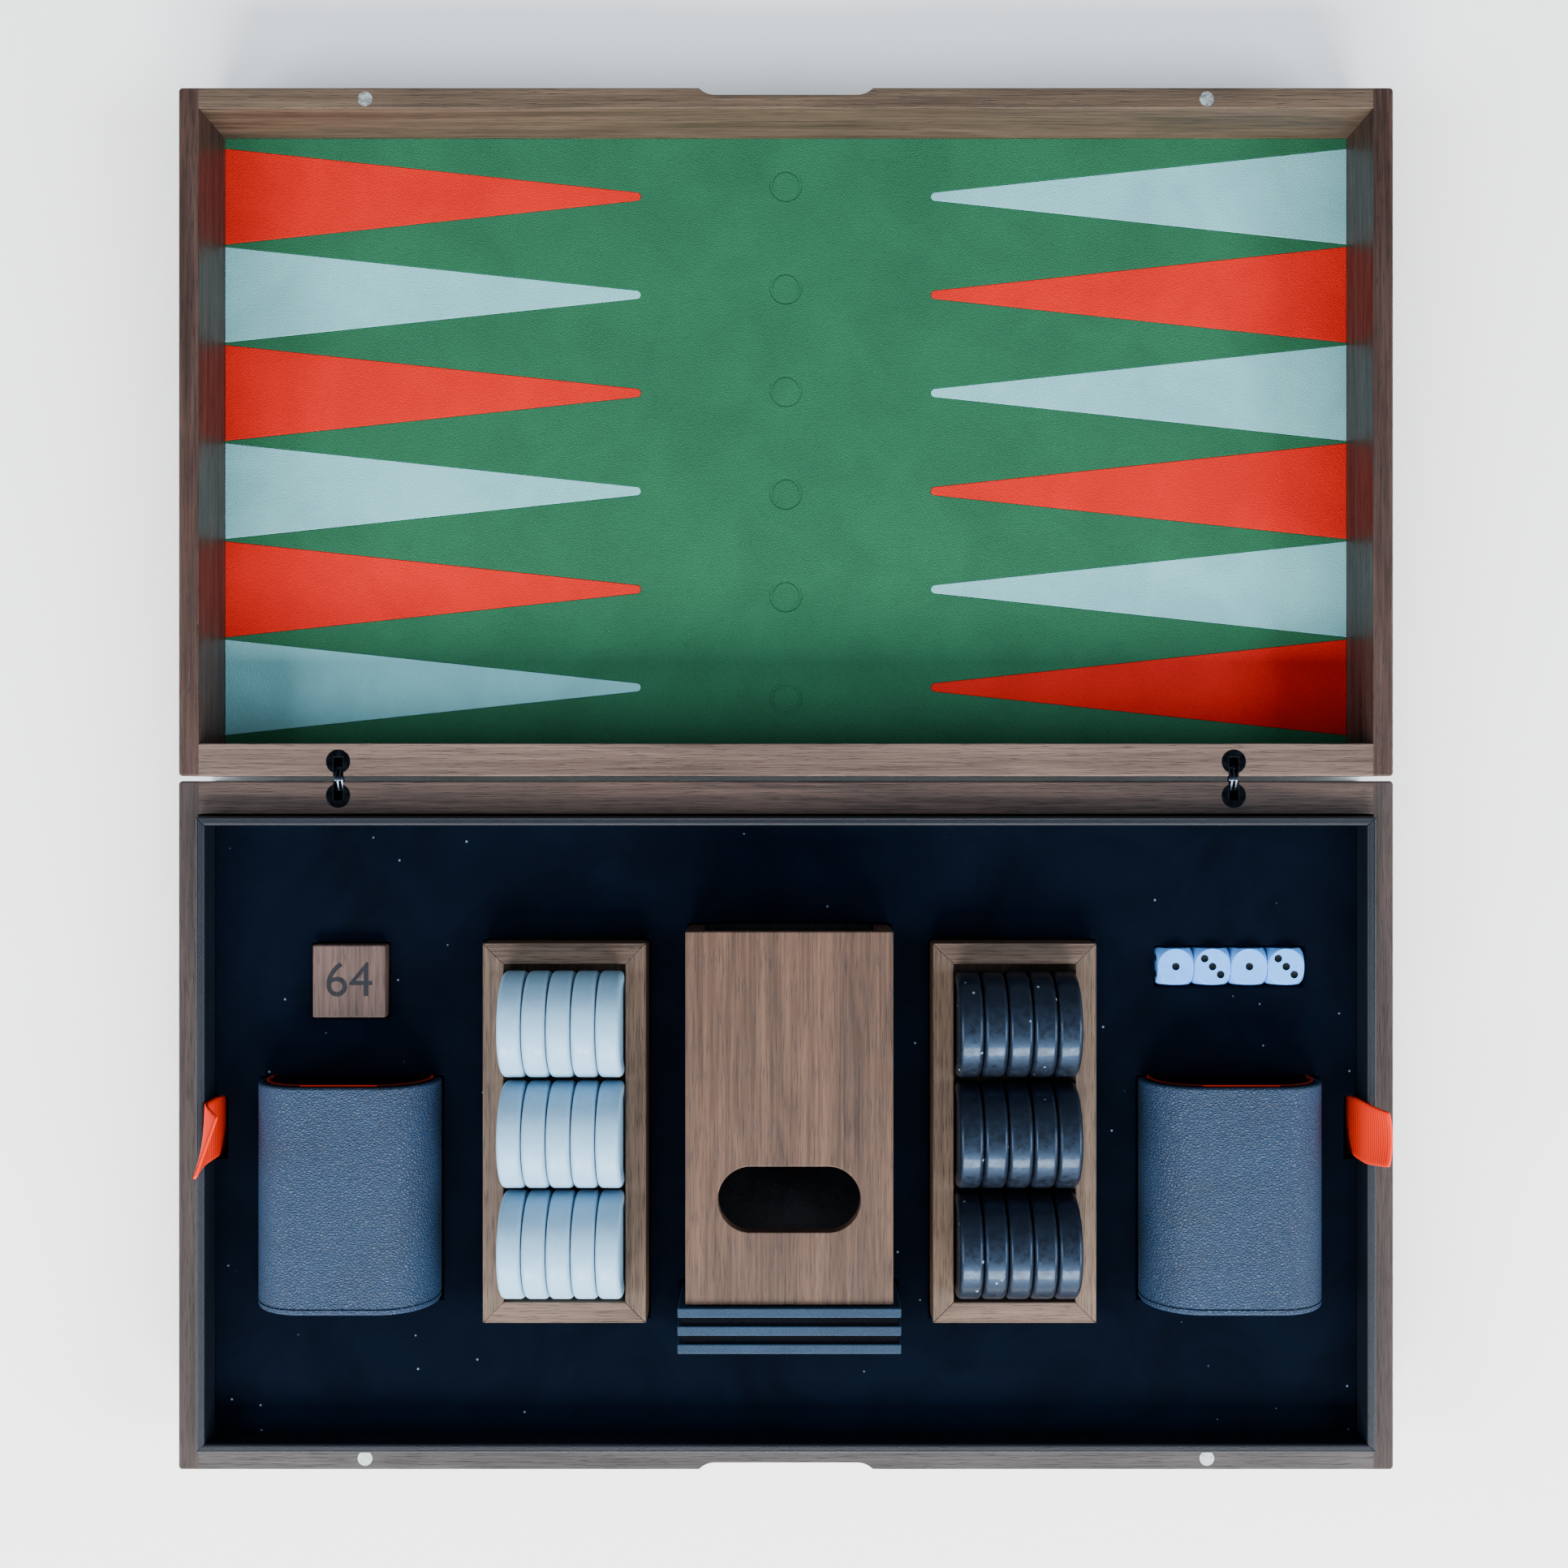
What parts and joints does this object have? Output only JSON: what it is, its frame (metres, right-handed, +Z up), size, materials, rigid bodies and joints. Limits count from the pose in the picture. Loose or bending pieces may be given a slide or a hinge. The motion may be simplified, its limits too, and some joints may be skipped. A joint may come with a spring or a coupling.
{
  "type": "backgammon set",
  "caption": "Folding wooden backgammon case with leather playing fields and a lift-out tray of checkers, dice, cups and dice tower.",
  "frame": {"origin": "on the resting surface, under the middle of the hinge line of the case opened flat", "axes": "+X right along the hinge line, +Y from the hinge line towards the lid half, +Z up"},
  "size_m": [0.5, 0.5688, 0.0695],
  "materials": {
    "walnut": "satin",
    "green_leather": "fine-grained",
    "red_leather": "fine-grained",
    "pale_leather": "fine-grained",
    "magnet_steel": "bright",
    "black_metal": "satin black",
    "steel": "brushed",
    "navy_leather": "grained",
    "black_velvet": "flocked",
    "orange_ribbon": "ribbed",
    "pearl_plastic": "pearl satin",
    "black_plastic": "gloss",
    "slate_leather": "pebbled",
    "orange_lining": "suede",
    "white_plastic": "polished"
  },
  "bodies": {
    "base_case": {"base_side_left": "walnut", "base_side_right": "walnut", "base_front_rail": "walnut", "base_hinge_rail": "walnut", "base_panel": "walnut", "base_field": "green_leather", "base_points_red": "red_leather", "base_points_pale": "pale_leather", "base_magnets": "magnet_steel", "base_hinge_barrels": "black_metal", "base_hinge_pins": "steel"},
    "lid_case": {"lid_side_left": "walnut", "lid_side_right": "walnut", "lid_front_rail": "walnut", "lid_hinge_rail": "walnut", "lid_panel": "walnut", "lid_field": "green_leather", "lid_points_red": "red_leather", "lid_points_pale": "pale_leather", "lid_magnets": "magnet_steel", "lid_hinge_barrels": "black_metal", "lid_hinge_pins": "steel"},
    "base_arms_left": {"base_hinge_arms_left": "steel"},
    "base_arms_right": {"base_hinge_arms_right": "steel"},
    "lid_arms_left": {"lid_hinge_arms_left": "steel"},
    "lid_arms_right": {"lid_hinge_arms_right": "steel"},
    "tray": {"tray_walls": "navy_leather", "tray_floor": "black_velvet", "tray_foam_base": "black_velvet", "tray_foam_top": "black_velvet", "ribbon_left": "orange_ribbon", "ribbon_right": "orange_ribbon"},
    "pearl_box": {"pearl_box_walls": "walnut", "pearl_box_floor": "black_velvet"},
    "pearl_row_1": {"pearl_checkers_1": "pearl_plastic"},
    "pearl_row_2": {"pearl_checkers_2": "pearl_plastic"},
    "pearl_row_3": {"pearl_checkers_3": "pearl_plastic"},
    "black_box": {"black_box_walls": "walnut", "black_box_floor": "black_velvet"},
    "black_row_1": {"black_checkers_1": "black_plastic"},
    "black_row_2": {"black_checkers_2": "black_plastic"},
    "black_row_3": {"black_checkers_3": "black_plastic"},
    "left_cup": {"left_cup_shell": "slate_leather", "left_cup_lining": "orange_lining", "left_cup_base": "slate_leather"},
    "right_cup": {"right_cup_shell": "slate_leather", "right_cup_lining": "orange_lining", "right_cup_base": "slate_leather"},
    "dice_tower": {"tower_front": "walnut", "tower_back": "walnut", "tower_sides": "walnut", "tower_baffles": "black_velvet", "tower_plinth_plates": "slate_leather", "tower_plinth_spacers": "slate_leather"},
    "cube": {"doubling_cube": "walnut"},
    "die_1": {"die_1": "white_plastic"},
    "die_2": {"die_2": "white_plastic"},
    "die_3": {"die_3": "white_plastic"},
    "die_4": {"die_4": "white_plastic"}
  },
  "joints": [
    {"name": "lid_fold", "type": "hinge", "parent": "base_case", "child": "lid_case", "pos_m": [0, 0, 0.04015], "axis": [-1, 0, 0], "range_deg": [-180, 0]},
    {"name": "base_arms_left_turn", "type": "hinge", "parent": "base_case", "child": "base_arms_left", "pos_m": [-0.1843, -0.0045, 0.0355], "axis": [-1, 0, 0], "range_deg": [-90, 0]},
    {"name": "lid_arms_left_turn", "type": "hinge", "parent": "lid_case", "child": "lid_arms_left", "pos_m": [-0.1843, 0.0045, 0.0355], "axis": [-1, 0, 0], "range_deg": [0, 90]},
    {"name": "base_arms_right_turn", "type": "hinge", "parent": "base_case", "child": "base_arms_right", "pos_m": [0.1843, -0.0045, 0.0355], "axis": [-1, 0, 0], "range_deg": [-90, 0]},
    {"name": "lid_arms_right_turn", "type": "hinge", "parent": "lid_case", "child": "lid_arms_right", "pos_m": [0.1843, 0.0045, 0.0355], "axis": [-1, 0, 0], "range_deg": [0, 90]},
    {"name": "tray_lift", "type": "slide", "parent": "base_case", "child": "tray", "axis": [0, 0, 1], "range_m": [0, 0.06]},
    {"name": "pearl_box_lift", "type": "slide", "parent": "tray", "child": "pearl_box", "axis": [0, 0, 1], "range_m": [0, 0.05]},
    {"name": "pearl_row_1_lift", "type": "slide", "parent": "pearl_box", "child": "pearl_row_1", "axis": [0, 0, 1], "range_m": [0, 0.05]},
    {"name": "pearl_row_2_lift", "type": "slide", "parent": "pearl_box", "child": "pearl_row_2", "axis": [0, 0, 1], "range_m": [0, 0.05]},
    {"name": "pearl_row_3_lift", "type": "slide", "parent": "pearl_box", "child": "pearl_row_3", "axis": [0, 0, 1], "range_m": [0, 0.05]},
    {"name": "black_box_lift", "type": "slide", "parent": "tray", "child": "black_box", "axis": [0, 0, 1], "range_m": [0, 0.05]},
    {"name": "black_row_1_lift", "type": "slide", "parent": "black_box", "child": "black_row_1", "axis": [0, 0, 1], "range_m": [0, 0.05]},
    {"name": "black_row_2_lift", "type": "slide", "parent": "black_box", "child": "black_row_2", "axis": [0, 0, 1], "range_m": [0, 0.05]},
    {"name": "black_row_3_lift", "type": "slide", "parent": "black_box", "child": "black_row_3", "axis": [0, 0, 1], "range_m": [0, 0.05]},
    {"name": "left_cup_lift", "type": "slide", "parent": "tray", "child": "left_cup", "axis": [0, 0, 1], "range_m": [0, 0.05]},
    {"name": "right_cup_lift", "type": "slide", "parent": "tray", "child": "right_cup", "axis": [0, 0, 1], "range_m": [0, 0.05]},
    {"name": "dice_tower_lift", "type": "slide", "parent": "tray", "child": "dice_tower", "axis": [0, 0, 1], "range_m": [0, 0.05]},
    {"name": "cube_lift", "type": "slide", "parent": "tray", "child": "cube", "axis": [0, 0, 1], "range_m": [0, 0.05]},
    {"name": "die_1_lift", "type": "slide", "parent": "tray", "child": "die_1", "axis": [0, 0, 1], "range_m": [0, 0.05]},
    {"name": "die_2_lift", "type": "slide", "parent": "tray", "child": "die_2", "axis": [0, 0, 1], "range_m": [0, 0.05]},
    {"name": "die_3_lift", "type": "slide", "parent": "tray", "child": "die_3", "axis": [0, 0, 1], "range_m": [0, 0.05]},
    {"name": "die_4_lift", "type": "slide", "parent": "tray", "child": "die_4", "axis": [0, 0, 1], "range_m": [0, 0.05]}
  ],
  "couplings": [
    {"joint": "base_arms_left_turn", "follows": "lid_fold", "ratio": 0.5},
    {"joint": "lid_arms_left_turn", "follows": "lid_fold", "ratio": -0.5},
    {"joint": "base_arms_right_turn", "follows": "lid_fold", "ratio": 0.5},
    {"joint": "lid_arms_right_turn", "follows": "lid_fold", "ratio": -0.5}
  ]
}
